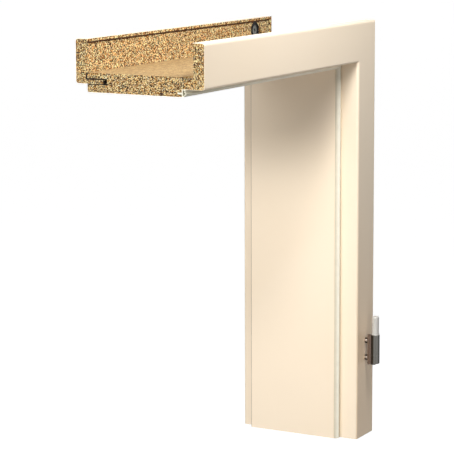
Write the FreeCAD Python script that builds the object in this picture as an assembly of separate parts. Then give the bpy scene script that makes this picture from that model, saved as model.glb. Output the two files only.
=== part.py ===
"""Corner sample of an interior door frame: linings, architraves, seals, fittings, the hinge's frame half.

Millimetres. While it is built, the origin is the reveal's corner in the plane of the front face:
X runs along the head (the sample's head runs to -X), Y goes through the wall from front to rear, Z is up.
A section is drawn once as (depth, height) points, depth along Y and height away from the reveal. The head
piece runs it along X, and the jamb piece is its mirror image in the 45 degree mitre plane, where X equals Z.
At the end every piece is moved so that the origin is the middle of the jamb's wall side.
"""
import FreeCAD, Part
import math
import os

V = FreeCAD.Vector

# Driving dimensions: the frame's section
FACE_WIDTH = 65.0
FRONT_THICKNESS = 19.0
REAR_THICKNESS = 19.0
LINING_THICKNESS = 28.0
LINING_DEPTH = 155.0
REBATE_DEPTH = 36.0
REBATE_STEP = 11.0
REAR_SETBACK = 12.0
OUTER_EDGE = REBATE_STEP + FACE_WIDTH
LINING_REAR = REBATE_DEPTH + LINING_DEPTH
REAR_FACE = LINING_REAR + REAR_THICKNESS

# Driving dimensions: the sample
HEAD_LENGTH = 490.0
JAMB_LENGTH = 610.0

# Rounded edges
FACE_ROUND = 4.0
REVEAL_ROUND = 3.0
STOP_ROUND = 1.5

# Where the architraves bear on the wall: a lip at the outer edge, the raw board behind it set back
LIP_WIDTH = 5.5
RELIEF = 1.5
RELIEF_TOP = OUTER_EDGE - LIP_WIDTH
FRONT_RAW = FRONT_THICKNESS - RELIEF
REAR_RAW = LINING_REAR + RELIEF

# Glued tongue between lining and front architrave, and the glue recess on the lining's wall side
GLUE_GAP = 0.1
GLUE_RECESS_WIDTH = 15.0
GLUE_RECESS_DEPTH = 1.5
NOSE_TONGUE_LENGTH = 8.0
NOSE_LOW_SHOULDER = 7.0
NOSE_HIGH_SHOULDER = 1.5
NOSE_LOW = REBATE_STEP + NOSE_LOW_SHOULDER
NOSE_HIGH = LINING_THICKNESS - GLUE_RECESS_DEPTH - NOSE_HIGH_SHOULDER

# Sliding tongue of the rear architrave: it lies on the groove's reveal side and has slack above
SLIDE_GAP = 0.3
SLIDE_SLACK = 0.9
TONGUE_THICKNESS = 6.4
TONGUE_LENGTH = 28.0
TONGUE_END_GAP = 6.0
TONGUE_CHAMFER = 1.0

# Seal: heights are from the reveal, the other sizes stand out from the stop or lie in its groove
SEAL_GROOVE_WIDTH = 3.2
SEAL_GROOVE_DEPTH = 8.0
SEAL_HEIGHT = 5.2
SEAL_STEM = 1.4
SEAL_FOOT = 7.4
SEAL_BARBS = (1.6, 3.6, 5.6)
SEAL_BARB_LENGTH = 1.4
SEAL_BARB_GAP = 0.05
SEAL_WALL = 1.0
SEAL_NOSE_WALL = 1.5
SEAL_LOW = 0.2
SEAL_TOP_GAP = 0.3
SEAL_CROWN = 5.4
SEAL_BEND = 6.5
SEAL_NOSE = 7.4
SEAL_NOSE_HEIGHT = 4.8
SEAL_HEEL = 2.0
SEAL_CROWN_ROUND = 1.2
SEAL_BEND_ROUND = 0.8
SEAL_NOSE_ROUND = 1.0

# Mitre connector
CONNECTOR_REACH = 26.0
CUP_EDGE_MARGIN = 0.5
POCKET_GAP = 0.2
BOLT_RADIUS = 3.0
BOLT_HEAD_RADIUS = 3.0
BOLT_NECK_RADIUS = 2.0
BOLT_CHAMFER = 0.8
BOLT_GAP = 0.1
CAM_RADIUS = 7.8
CAM_RUNNING_GAP = 0.05
CAM_RIM = 0.65
CAM_CHAMFER = 0.5
CAM_ECCENTRICITY = 0.6
CAM_WALL = 1.9
CAM_HEIGHT = 2 * (BOLT_HEAD_RADIUS + BOLT_GAP + CAM_WALL)
CAM_INSET = 0.5
CAM_SLOT_GAP = 0.4
CAM_TURN = 180.0
DRIVER_LENGTH = 7.0
DRIVER_WIDTH = 1.6
DRIVER_FLOOR = 0.5
DRIVER_ANGLE = 20.0
CUP_WALL = 5.65
CUP_FLOOR = 1.2
CUP_BOSS = 1.2
CUP_RIM = 1.3
CUP_DISH = 1.5
CUP_RADIUS = CAM_RADIUS + CAM_RUNNING_GAP + CUP_WALL
CUP_DEPTH = CAM_INSET + CAM_HEIGHT + CAM_RUNNING_GAP + CUP_FLOOR
ANCHOR_RIM = 2.0
ANCHOR_DISH = 1.2
ANCHOR_THREAD_PAST_CENTRE = 7.0
ANCHOR_BORE_SPARE = 1.0

# Lining dowels, square to the mitre
DOWEL_RADIUS = 4.0
DOWEL_LENGTH = 24.0
DOWEL_GAP = 0.05
DOWEL_END_GAP = 1.0
DOWEL_CHAMFER = 0.8
DOWEL_COUNT = 3
DOWEL_FROM_STOP = 26.0
DOWEL_FROM_GROOVE = 12.5

# Hinge, frame half
HINGE_SETBACK = 33.0
HINGE_X = REBATE_STEP + HINGE_SETBACK
HINGE_OUT = 18.0
BARREL_RADIUS = 7.0
BARREL_TOP = -438.5
BARREL_HEIGHT = 48.0
BARREL_CHAMFER = 0.6
WEB_THICKNESS = 6.0
WEB_HEIGHT = 50.5
WEB_ROUND = 1.0
COLLAR_LENGTH = 4.5
COLLAR_WALL = 0.9
COLLAR_ROUND = 0.4
ARM_RADIUS = 3.5
ARM_GAP = 0.1
ARM_TENON = 6.0
ARM_TENON_RADIUS = 2.35
ARM_TENON_GAP = 0.05
ARM_CHAMFER = 0.8
ARM_SPACING = 28.4
ARM_DROP = 11.0
ARM_TOP = BARREL_TOP - ARM_DROP
PIN_RADIUS = 4.0
PIN_GAP = 0.05
PIN_SEAT = 20.0
PIN_RISE = 25.0
PIN_CHAMFER = 1.0
SLEEVE_WALL = 1.7
SLEEVE_RUNNING_GAP = 0.05
SLEEVE_RADIUS = PIN_RADIUS + SLEEVE_RUNNING_GAP + SLEEVE_WALL
SLEEVE_CAP = 5.9
SLEEVE_END_GAP = 0.6
SLEEVE_RISE = PIN_RISE + SLEEVE_END_GAP + SLEEVE_CAP
SLEEVE_DOME = 0.55
SLEEVE_FLANGE = 1.5
SLEEVE_FLANGE_INSET = 0.4

# Hidden receiver that holds the hinge's arms
ARM_SEAT = 12.0
RECEIVER_BACK = 3.5
RECEIVER_PAST_ARM = 13.0
RECEIVER_DEPTH = ARM_SEAT + RECEIVER_BACK
RECEIVER_MARGIN = 17.0
RECEIVER_ROUND = 4.0
BLOCK_INSET = 4.0
FLANGE_THICKNESS = 2.5
FLANGE_DEPTH = 44.0
FLANGE_ROUND = 5.0
FLANGE_GAP = 0.2
CLAMP_RADIUS = 2.5
CLAMP_LENGTH = 7.0
CLAMP_CHAMFER = 0.4
CLAMP_HEX = 2.5
CLAMP_CONTACT_GAP = 0.02
SCREW_RADIUS = 1.8
SCREW_HEAD_RADIUS = 3.6
SCREW_LENGTH = 20.0
SCREW_TIP = 4.0
SCREW_TIP_RADIUS = 0.4
SCREW_GAP = 0.1
SCREW_BACK = 33.0
SCREW_END_MARGIN = 11.0
SCREW_SLOT_LENGTH = 4.0
SCREW_SLOT_WIDTH = 0.9
SCREW_SLOT_DEPTH = 1.2

# Place of the mount on the jamb's wall side, which becomes the origin
MOUNT = V(LINING_THICKNESS, (FRONT_THICKNESS + LINING_REAR) / 2, -JAMB_LENGTH / 2)

MITRE = V(1, 0, -1)
FAR = 1500.0
CUT = 1.0
NEAR = 0.1
ALMOST_NOTHING = 1e-6


def rounded_wire(points, place):
    """A closed wire through (depth, height[, radius]) corners, a corner with a radius being an arc of it."""
    starts, ends, mids = [], [], []
    for i, corner in enumerate(points):
        here = V(corner[0], corner[1], 0)
        radius = corner[2] if len(corner) > 2 else 0.0
        before = V(points[i - 1][0], points[i - 1][1], 0)
        after = V(points[(i + 1) % len(points)][0], points[(i + 1) % len(points)][1], 0)
        back = (before - here).normalize()
        ahead = (after - here).normalize()
        half = back.getAngle(ahead) / 2
        reach = radius / math.tan(half)
        middle = (back + ahead).normalize() if radius else V(0, 0, 0)
        starts.append(here + back * reach)
        ends.append(here + ahead * reach)
        mids.append(here + middle * (radius / math.sin(half) - radius))
    edges = []
    for i, corner in enumerate(points):
        if len(corner) > 2:
            edges.append(Part.Arc(place(starts[i]), place(mids[i]), place(ends[i])).toShape())
        following = starts[(i + 1) % len(points)]
        if (following - ends[i]).Length > ALMOST_NOTHING:
            edges.append(Part.makeLine(place(ends[i]), place(following)))
    return Part.Wire(edges)


def run_piece(length, points, hollow):
    """The section run from a sawn end at -X to the mitre."""

    def on_end(p):
        return V(-length, p.x, p.y)

    face = Part.Face(rounded_wire(points, on_end))
    if hollow:
        face = face.cut(Part.Face(rounded_wire(hollow, on_end)))
    return mitred(face.extrude(V(length + 2 * OUTER_EDGE, 0, 0)))


def head_piece(points, hollow=None):
    return run_piece(HEAD_LENGTH, points, hollow)


def jamb_piece(points, hollow=None):
    """A piece as long as the jamb, mirrored in the mitre."""
    return mirrored(run_piece(JAMB_LENGTH, points, hollow))


def mitred(shape):
    """Keeps the head's side of the 45 degree mitre plane."""
    side = Part.makePolygon([V(-FAR, -FAR, -FAR), V(FAR, -FAR, FAR), V(-FAR, -FAR, FAR), V(-FAR, -FAR, -FAR)])
    return shape.common(Part.Face(side).extrude(V(0, 2 * FAR, 0)))


def mirrored(shape):
    """The mirror image in the mitre plane: swaps X and Z."""
    return shape.mirror(V(0, 0, 0), MITRE)


def bar(start, direction, length, radius):
    """A round bar from a start point."""
    return Part.makeCylinder(radius, length, start, direction)


def block(low, high):
    """A box between two corners."""
    return Part.makeBox(high.x - low.x, high.y - low.y, high.z - low.z, low)


# Sections, as (depth, height) corners

def groove_bottom():
    """Depth of the bottom of the lining's groove, past the sliding tongue's end."""
    return REAR_RAW - TONGUE_LENGTH - TONGUE_END_GAP


def lining_section():
    """Lining board: groove in its rear edge, stop and rebate step at the front, tongue for the architrave."""
    groove_low = REAR_SETBACK - SLIDE_GAP
    groove_high = REAR_SETBACK + TONGUE_THICKNESS + SLIDE_SLACK
    groove_end = groove_bottom()
    recess_end = FRONT_THICKNESS + GLUE_RECESS_WIDTH
    recess_floor = LINING_THICKNESS - GLUE_RECESS_DEPTH
    tongue_end = FRONT_THICKNESS - NOSE_TONGUE_LENGTH
    seal_low = SEAL_HEIGHT - SEAL_GROOVE_WIDTH / 2
    seal_high = SEAL_HEIGHT + SEAL_GROOVE_WIDTH / 2
    seal_end = REBATE_DEPTH + SEAL_GROOVE_DEPTH
    return [
        (LINING_REAR, 0, REVEAL_ROUND), (LINING_REAR, groove_low), (groove_end, groove_low),
        (groove_end, groove_high), (LINING_REAR, groove_high), (LINING_REAR, LINING_THICKNESS),
        (recess_end, LINING_THICKNESS), (recess_end, recess_floor), (FRONT_THICKNESS, recess_floor),
        (FRONT_THICKNESS, NOSE_HIGH), (tongue_end, NOSE_HIGH), (tongue_end, NOSE_LOW),
        (FRONT_THICKNESS, NOSE_LOW), (FRONT_THICKNESS, REBATE_STEP), (REBATE_DEPTH, REBATE_STEP),
        (REBATE_DEPTH, seal_high), (seal_end, seal_high), (seal_end, seal_low), (REBATE_DEPTH, seal_low),
        (REBATE_DEPTH, 0, STOP_ROUND),
    ]


def front_section():
    """Front architrave: rounded face edges, a groove for the lining's tongue, relief behind the wall lip."""
    groove_end = FRONT_THICKNESS - NOSE_TONGUE_LENGTH - GLUE_GAP
    groove_low = NOSE_LOW - GLUE_GAP
    groove_high = NOSE_HIGH + GLUE_GAP
    return [
        (0, REBATE_STEP, FACE_ROUND), (FRONT_THICKNESS, REBATE_STEP), (FRONT_THICKNESS, groove_low),
        (groove_end, groove_low), (groove_end, groove_high), (FRONT_THICKNESS, groove_high),
        (FRONT_THICKNESS, LINING_THICKNESS), (FRONT_RAW, LINING_THICKNESS), (FRONT_RAW, RELIEF_TOP),
        (FRONT_THICKNESS, RELIEF_TOP), (FRONT_THICKNESS, OUTER_EDGE), (0, OUTER_EDGE, FACE_ROUND),
    ]


def rear_section():
    """Rear architrave: an angle whose tongue slides in the lining's groove, with the same wall lip."""
    tongue_high = REAR_SETBACK + TONGUE_THICKNESS
    tongue_end = REAR_RAW - TONGUE_LENGTH
    return [
        (REAR_FACE, REAR_SETBACK, FACE_ROUND), (REAR_FACE, OUTER_EDGE, FACE_ROUND), (LINING_REAR, OUTER_EDGE),
        (LINING_REAR, RELIEF_TOP), (REAR_RAW, RELIEF_TOP), (REAR_RAW, tongue_high),
        (tongue_end + TONGUE_CHAMFER, tongue_high), (tongue_end, tongue_high - TONGUE_CHAMFER),
        (tongue_end, REAR_SETBACK + TONGUE_CHAMFER), (tongue_end + TONGUE_CHAMFER, REAR_SETBACK),
    ]


def seal_section():
    """Seal: a hollow bulb as high as the rebate with a nose towards the leaf, and a barbed foot."""
    stop = REBATE_DEPTH
    high = REBATE_STEP - SEAL_TOP_GAP
    stem = SEAL_STEM / 2
    barb = SEAL_GROOVE_WIDTH / 2 - SEAL_BARB_GAP
    foot_low = []
    for start in SEAL_BARBS:
        foot_low += [
            (stop + start, SEAL_HEIGHT - stem), (stop + start, SEAL_HEIGHT - barb),
            (stop + start + SEAL_BARB_LENGTH, SEAL_HEIGHT - stem),
        ]
    foot_high = [(depth, 2 * SEAL_HEIGHT - height) for depth, height in reversed(foot_low)]
    outline = [
        (stop, high), (stop - SEAL_CROWN, high, SEAL_CROWN_ROUND),
        (stop - SEAL_CROWN, SEAL_BEND, SEAL_BEND_ROUND),
        (stop - SEAL_NOSE, SEAL_NOSE_HEIGHT, SEAL_NOSE_ROUND),
        (stop - SEAL_HEEL, SEAL_LOW), (stop, SEAL_LOW), (stop, SEAL_HEIGHT - stem),
    ]
    outline += foot_low
    outline += [(stop + SEAL_FOOT, SEAL_HEIGHT - stem), (stop + SEAL_FOOT, SEAL_HEIGHT + stem)]
    outline += foot_high
    outline += [(stop, SEAL_HEIGHT + stem)]
    inner_crown = stop - SEAL_CROWN + SEAL_WALL
    hollow = [
        (stop - SEAL_WALL, SEAL_LOW + SEAL_WALL), (stop - SEAL_WALL, high - SEAL_WALL),
        (inner_crown, high - SEAL_WALL, SEAL_WALL / 2), (inner_crown, SEAL_BEND, SEAL_WALL / 2),
        (stop - SEAL_NOSE + SEAL_NOSE_WALL, SEAL_NOSE_HEIGHT, SEAL_WALL / 2),
        (stop - SEAL_HEEL + SEAL_WALL / 3, SEAL_LOW + SEAL_WALL),
    ]
    return outline, hollow


# Mitre connector, built on a raw face that looks along +Y or -Y

CONNECTOR_H = RELIEF_TOP - CUP_EDGE_MARGIN - CUP_RADIUS
CONNECTOR_ALONG = CONNECTOR_H - CONNECTOR_REACH / math.sqrt(2)
TOWARDS_JAMB = V(1, 0, -1).normalize()


def cup_centre(face):
    """Where the head's cup meets its raw face."""
    return V(CONNECTOR_ALONG, face, CONNECTOR_ALONG) - TOWARDS_JAMB * CONNECTOR_REACH


def anchor_centre(face):
    """Where the jamb's cup meets its raw face."""
    return V(CONNECTOR_ALONG, face, CONNECTOR_ALONG) + TOWARDS_JAMB * CONNECTOR_REACH


def bolt_depth():
    """Depth of the bolt's axis below the raw face."""
    return CAM_INSET + CAM_HEIGHT / 2


def connector_pocket(face, inward):
    """The slot-shaped pocket across the mitre: both cups' rounds and the run between them."""
    radius = CUP_RADIUS + POCKET_GAP
    start = cup_centre(face) - inward * CUT
    depth = CUP_DEPTH + POCKET_GAP + CUT
    side = V(1, 0, 1).normalize() * radius
    far = start + TOWARDS_JAMB * (2 * CONNECTOR_REACH)
    outline = Part.makePolygon([start - side, start + side, far + side, far - side, start - side])
    run = Part.Face(outline).extrude(inward * depth)
    return run.fuse([bar(start, inward, depth, radius), bar(far, inward, depth, radius)]).removeSplitter()


def cup_shell(centre, inward, towards):
    """A round cup set in the pocket: a boss round the cam, a dished ring round it and a bolt hole."""
    cup = bar(centre, inward, CUP_DEPTH, CUP_RADIUS)
    bore_depth = CUP_DEPTH - CUP_FLOOR
    cup = cup.cut(bar(centre - inward * CUT, inward, bore_depth + CUT, CAM_RADIUS + CAM_RUNNING_GAP))
    boss_radius = CAM_RADIUS + CAM_RUNNING_GAP + CUP_BOSS
    dish = bar(centre - inward * CUT, inward, CUP_DISH + CUT, CUP_RADIUS - CUP_RIM)
    dish = dish.cut(bar(centre - inward * CUT, inward, CUP_DISH + CUT, boss_radius))
    axis = centre + inward * bolt_depth()
    return cup.cut(dish).cut(bar(axis, towards, CUP_RADIUS + CUT, BOLT_RADIUS + BOLT_GAP))


def connector_housing(face, inward):
    return cup_shell(cup_centre(face), inward, TOWARDS_JAMB)


def connector_anchor(face, inward):
    """The jamb's cup, solid, with a threaded bore for the bolt and a dished face."""
    centre = anchor_centre(face)
    cup = bar(centre, inward, CUP_DEPTH, CUP_RADIUS)
    mouth = centre + inward * bolt_depth() - TOWARDS_JAMB * (CUP_RADIUS + CUT)
    bore_length = CUP_RADIUS + CUT + ANCHOR_THREAD_PAST_CENTRE + ANCHOR_BORE_SPARE
    cup = cup.cut(bar(mouth, TOWARDS_JAMB, bore_length, BOLT_RADIUS + BOLT_GAP))
    return cup.cut(bar(centre - inward * CUT, inward, ANCHOR_DISH + CUT, CUP_RADIUS - ANCHOR_RIM))


def cavity_radius():
    """Radius of the cam's off-centre hollow, which leaves the rim at its thinnest."""
    return CAM_RADIUS - CAM_RIM - CAM_ECCENTRICITY


def connector_bolt(face, inward):
    """Ball-headed bolt from the cam's hollow to the jamb's cup, turned in one piece."""
    axis = cup_centre(face) + inward * bolt_depth()
    ball_at = cavity_radius() - CAM_ECCENTRICITY - BOLT_HEAD_RADIUS - BOLT_GAP
    neck_at = ball_at + math.sqrt(BOLT_HEAD_RADIUS**2 - BOLT_NECK_RADIUS**2)
    shoulder = CAM_RADIUS + CAM_RUNNING_GAP + BOLT_GAP
    end = 2 * CONNECTOR_REACH + ANCHOR_THREAD_PAST_CENTRE

    def at(along, radius):
        return axis + TOWARDS_JAMB * along + inward * radius

    crown = at(ball_at - BOLT_HEAD_RADIUS, 0)
    under_ball = at(neck_at, BOLT_NECK_RADIUS)
    ball = Part.Arc(crown, at(ball_at, BOLT_HEAD_RADIUS), under_ball)
    shaft = Part.makePolygon([
        under_ball, at(shoulder, BOLT_NECK_RADIUS), at(shoulder, BOLT_RADIUS),
        at(end - BOLT_CHAMFER, BOLT_RADIUS), at(end, BOLT_RADIUS - BOLT_CHAMFER), at(end, 0), crown,
    ])
    profile = Part.Face(Part.Wire([ball.toShape()] + shaft.Edges))
    return profile.revolve(axis, TOWARDS_JAMB, 360)


def connector_cam(face, inward):
    """Cam: a drum with an off-centre hollow that hooks the bolt's ball, a slot for its neck and an entry.

    The hollow is off-centre away from the bolt, so the drum's rim is closest behind the ball where it rests,
    and gives way as the drum turns until the entry stands at the bolt.
    """
    centre = cup_centre(face) + inward * CAM_INSET
    middle = centre + inward * (CAM_HEIGHT / 2)
    half_hollow = BOLT_HEAD_RADIUS + BOLT_GAP
    neck_room = BOLT_NECK_RADIUS + CAM_SLOT_GAP
    outside = CAM_RADIUS + CUT
    drum = bar(centre, inward, CAM_HEIGHT, CAM_RADIUS)
    drum = drum.makeChamfer(CAM_CHAMFER, [e for e in drum.Edges if e.BoundBox.YLength < NEAR
                                          and abs(e.BoundBox.YMin - centre.y) < NEAR])
    hollow_start = middle - inward * half_hollow - TOWARDS_JAMB * CAM_ECCENTRICITY
    drum = drum.cut(bar(hollow_start, inward, 2 * half_hollow, cavity_radius()))
    slot_side = inward * neck_room
    slot_from = middle + TOWARDS_JAMB * (cavity_radius() / 2)
    slot_to = middle + TOWARDS_JAMB * outside
    corners = [slot_from - slot_side, slot_to - slot_side, slot_to + slot_side, slot_from + slot_side]
    slot = Part.Face(Part.makePolygon(corners + corners[:1])).revolve(middle, V(0, 1, 0), CAM_TURN)
    slot_end = bar(middle, TOWARDS_JAMB, outside, neck_room)
    entry = bar(middle, V(0, 0, 0) - TOWARDS_JAMB, outside, half_hollow)
    drum = drum.cut(slot).cut(slot_end).cut(entry)
    depth = CAM_WALL - DRIVER_FLOOR
    for turn in (DRIVER_ANGLE, DRIVER_ANGLE + 90):
        half = V(DRIVER_LENGTH / 2, 0, DRIVER_WIDTH / 2)
        low = centre - half - V(0, depth if inward.y < 0 else CUT, 0)
        driver = Part.makeBox(DRIVER_LENGTH, depth + CUT, DRIVER_WIDTH, low)
        driver.rotate(centre, V(0, 1, 0), turn)
        drum = drum.cut(driver)
    return drum


# Hinge, frame half

def hinge_axis(z):
    return V(HINGE_X, -HINGE_OUT, z)


def arm_heights():
    return (ARM_TOP, ARM_TOP - ARM_SPACING)


def hinge_barrel():
    """Steel barrel with the flat web behind it that carries the arms."""
    barrel = bar(hinge_axis(BARREL_TOP - BARREL_HEIGHT), V(0, 0, 1), BARREL_HEIGHT, BARREL_RADIUS)
    rims = [e for e in barrel.Edges if abs(e.Length - 2 * math.pi * BARREL_RADIUS) < NEAR]
    barrel = barrel.makeChamfer(BARREL_CHAMFER, rims)
    low = V(HINGE_X - WEB_THICKNESS / 2, -HINGE_OUT, BARREL_TOP - WEB_HEIGHT)
    high = V(HINGE_X + WEB_THICKNESS / 2, -COLLAR_LENGTH, BARREL_TOP - BARREL_CHAMFER)
    web = block(low, high)
    upright = [e for e in web.Edges if e.BoundBox.ZLength > WEB_HEIGHT / 2 and e.BoundBox.YMin > low.y + CUT]
    web = web.makeFillet(WEB_ROUND, upright)
    body = barrel.fuse(web).removeSplitter()
    body = body.cut(bar(hinge_axis(BARREL_TOP - PIN_SEAT), V(0, 0, 1), PIN_SEAT + CUT, PIN_RADIUS + PIN_GAP))
    for z in arm_heights():
        root = V(HINGE_X, -COLLAR_LENGTH - ARM_TENON, z)
        body = body.cut(bar(root, V(0, 1, 0), ARM_TENON + CUT, ARM_TENON_RADIUS + ARM_TENON_GAP))
    return body


def hinge_pin():
    """Steel pin pressed into the barrel, standing up for the leaf's half."""
    pin = bar(hinge_axis(BARREL_TOP - PIN_SEAT), V(0, 0, 1), PIN_SEAT + PIN_RISE, PIN_RADIUS)
    top = [e for e in pin.Edges if e.BoundBox.ZMin > BARREL_TOP + PIN_RISE - NEAR]
    return pin.makeChamfer(PIN_CHAMFER, top)


def hinge_sleeve():
    """Plastic bearing sleeve over the pin: a small flange on the barrel and a domed top."""
    base = hinge_axis(BARREL_TOP)
    sleeve = bar(base, V(0, 0, 1), SLEEVE_RISE, SLEEVE_RADIUS)
    top = [e for e in sleeve.Edges if e.BoundBox.ZMin > BARREL_TOP + SLEEVE_RISE - NEAR]
    sleeve = sleeve.makeFillet(SLEEVE_RADIUS * SLEEVE_DOME, top)
    flange = bar(base, V(0, 0, 1), SLEEVE_FLANGE, BARREL_RADIUS - SLEEVE_FLANGE_INSET)
    sleeve = sleeve.fuse(flange).removeSplitter()
    bore_length = PIN_RISE + SLEEVE_END_GAP + CUT
    return sleeve.cut(bar(base - V(0, 0, CUT), V(0, 0, 1), bore_length, PIN_RADIUS + SLEEVE_RUNNING_GAP))


def hinge_arm(z):
    """Round steel arm: a tenon fixed in the web, the full round through the collar into the receiver."""
    shoulder = V(HINGE_X, -COLLAR_LENGTH, z)
    tenon = bar(shoulder - V(0, ARM_TENON, 0), V(0, 1, 0), ARM_TENON, ARM_TENON_RADIUS)
    full = bar(shoulder, V(0, 1, 0), COLLAR_LENGTH + FRONT_RAW + ARM_SEAT, ARM_RADIUS)
    far = [e for e in full.Edges if e.BoundBox.YMin > FRONT_RAW + ARM_SEAT - NEAR]
    full = full.makeChamfer(ARM_CHAMFER, far)
    return tenon.fuse(full).removeSplitter()


def hinge_collar(z):
    """Collar between the web and the frame's face."""
    start = V(HINGE_X, -COLLAR_LENGTH, z)
    ring = bar(start, V(0, 1, 0), COLLAR_LENGTH, ARM_RADIUS + ARM_GAP + COLLAR_WALL)
    ring = ring.makeFillet(COLLAR_ROUND, [e for e in ring.Edges if e.BoundBox.YLength < NEAR])
    return ring.cut(bar(start - V(0, CUT, 0), V(0, 1, 0), COLLAR_LENGTH + 2 * CUT, ARM_RADIUS + ARM_GAP))


def receiver_span():
    """Lowest and highest Z of the receiver."""
    top, bottom = arm_heights()
    return bottom - RECEIVER_MARGIN, top + RECEIVER_MARGIN


def screw_points():
    """Where the receiver's two screws enter its flange, lower and upper."""
    low, high = receiver_span()
    heights = (low + SCREW_END_MARGIN, high - SCREW_END_MARGIN)
    return [V(LINING_THICKNESS, FRONT_RAW + SCREW_BACK, z) for z in heights]


def flange_plate(gap):
    """The receiver's flange, flush in the lining's wall side, or with a gap the recess that takes it."""
    low, high = receiver_span()
    far = V(LINING_THICKNESS, FRONT_RAW + FLANGE_DEPTH + gap, high + gap)
    plate = block(V(LINING_THICKNESS - FLANGE_THICKNESS, FRONT_THICKNESS, low - gap), far)
    corners = [e for e in plate.Edges if e.BoundBox.XLength > FLANGE_THICKNESS - NEAR
               and e.BoundBox.YMin > far.y - NEAR]
    return plate.makeFillet(FLANGE_ROUND + gap, corners)


def hinge_receiver():
    """Block behind the architrave that takes the arms, on a flange let into the lining's wall side."""
    low, high = receiver_span()
    body_low = V(LINING_THICKNESS, FRONT_RAW, low + BLOCK_INSET)
    body_high = V(HINGE_X + RECEIVER_PAST_ARM, FRONT_RAW + RECEIVER_DEPTH, high - BLOCK_INSET)
    body = block(body_low, body_high)
    outer = [e for e in body.Edges if e.BoundBox.XMin > body_high.x - NEAR
             and e.BoundBox.YMin > body_high.y - NEAR]
    body = body.makeFillet(RECEIVER_ROUND, outer)
    receiver = body.fuse(flange_plate(0.0)).removeSplitter()
    for z in arm_heights():
        seat = bar(V(HINGE_X, FRONT_RAW - CUT, z), V(0, 1, 0), ARM_SEAT + ARM_GAP + CUT, ARM_RADIUS + ARM_GAP)
        clamp = bar(clamp_start(z), V(1, 0, 0), RECEIVER_PAST_ARM, CLAMP_RADIUS + SCREW_GAP)
        receiver = receiver.cut(seat).cut(clamp)
    for point in screw_points():
        through = bar(point + V(CUT, 0, 0), V(-1, 0, 0), FLANGE_THICKNESS + 2 * CUT, SCREW_RADIUS + SCREW_GAP)
        receiver = receiver.cut(through).cut(countersink(point, SCREW_GAP))
    return receiver


def countersink(point, gap):
    """The cone of a countersunk head whose flat top is at the point, facing +X."""
    depth = SCREW_HEAD_RADIUS - SCREW_RADIUS
    return Part.makeCone(SCREW_HEAD_RADIUS + gap, SCREW_RADIUS + gap, depth, point, V(-1, 0, 0))


def receiver_screw(point):
    """Countersunk screw through the flange into the lining, with a cross slot."""
    shank_length = SCREW_LENGTH - SCREW_TIP
    shank = bar(point, V(-1, 0, 0), shank_length, SCREW_RADIUS)
    tip_start = point - V(shank_length, 0, 0)
    tip = Part.makeCone(SCREW_RADIUS, SCREW_TIP_RADIUS, SCREW_TIP, tip_start, V(-1, 0, 0))
    screw = countersink(point, 0.0).fuse([shank, tip]).removeSplitter()
    low = point - V(SCREW_SLOT_DEPTH, SCREW_SLOT_LENGTH / 2, SCREW_SLOT_WIDTH / 2)
    for turn in (0, 90):
        slot = Part.makeBox(SCREW_SLOT_DEPTH + CUT, SCREW_SLOT_LENGTH, SCREW_SLOT_WIDTH, low)
        slot.rotate(point, V(1, 0, 0), turn)
        screw = screw.cut(slot)
    return screw


def clamp_start(z):
    """Where a clamp screw meets its arm."""
    return V(HINGE_X + ARM_RADIUS + CLAMP_CONTACT_GAP, FRONT_RAW + ARM_SEAT / 2, z)


def clamp_screw(z):
    """Set screw that clamps an arm in the receiver, with a six-sided socket."""
    start = clamp_start(z)
    screw = bar(start, V(1, 0, 0), CLAMP_LENGTH, CLAMP_RADIUS)
    ends = [e for e in screw.Edges if e.BoundBox.XLength < NEAR]
    screw = screw.makeChamfer(CLAMP_CHAMFER, ends)
    corner = CLAMP_HEX / math.sqrt(3)
    points = []
    for i in range(7):
        angle = math.radians(60 * i)
        points.append(start + V(CLAMP_LENGTH + CUT, corner * math.cos(angle), corner * math.sin(angle)))
    socket = Part.Face(Part.makePolygon(points)).extrude(V(-CLAMP_LENGTH / 2 - CUT, 0, 0))
    return screw.cut(socket)


# Lining dowels

def dowel_depths():
    """Evenly spaced between the stop and the groove for the sliding tongue."""
    first = REBATE_DEPTH + DOWEL_FROM_STOP
    last = groove_bottom() - DOWEL_FROM_GROOVE
    return [first + (last - first) * i / (DOWEL_COUNT - 1) for i in range(DOWEL_COUNT)]


def dowel_middle(depth):
    return V(LINING_THICKNESS / 2, depth, LINING_THICKNESS / 2)


def corner_dowel(depth):
    """Wooden dowel square to the mitre, chamfered at both ends."""
    start = dowel_middle(depth) - TOWARDS_JAMB * (DOWEL_LENGTH / 2)
    dowel = bar(start, TOWARDS_JAMB, DOWEL_LENGTH, DOWEL_RADIUS)
    rims = [e for e in dowel.Edges if abs(e.Length - 2 * math.pi * DOWEL_RADIUS) < NEAR]
    return dowel.makeChamfer(DOWEL_CHAMFER, rims)


def dowel_hole(depth):
    length = DOWEL_LENGTH + 2 * DOWEL_END_GAP
    start = dowel_middle(depth) - TOWARDS_JAMB * (length / 2)
    return bar(start, TOWARDS_JAMB, length, DOWEL_RADIUS + DOWEL_GAP)


# The pieces

INTO_FRONT = V(0, -1, 0)
INTO_REAR = V(0, 1, 0)


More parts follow.
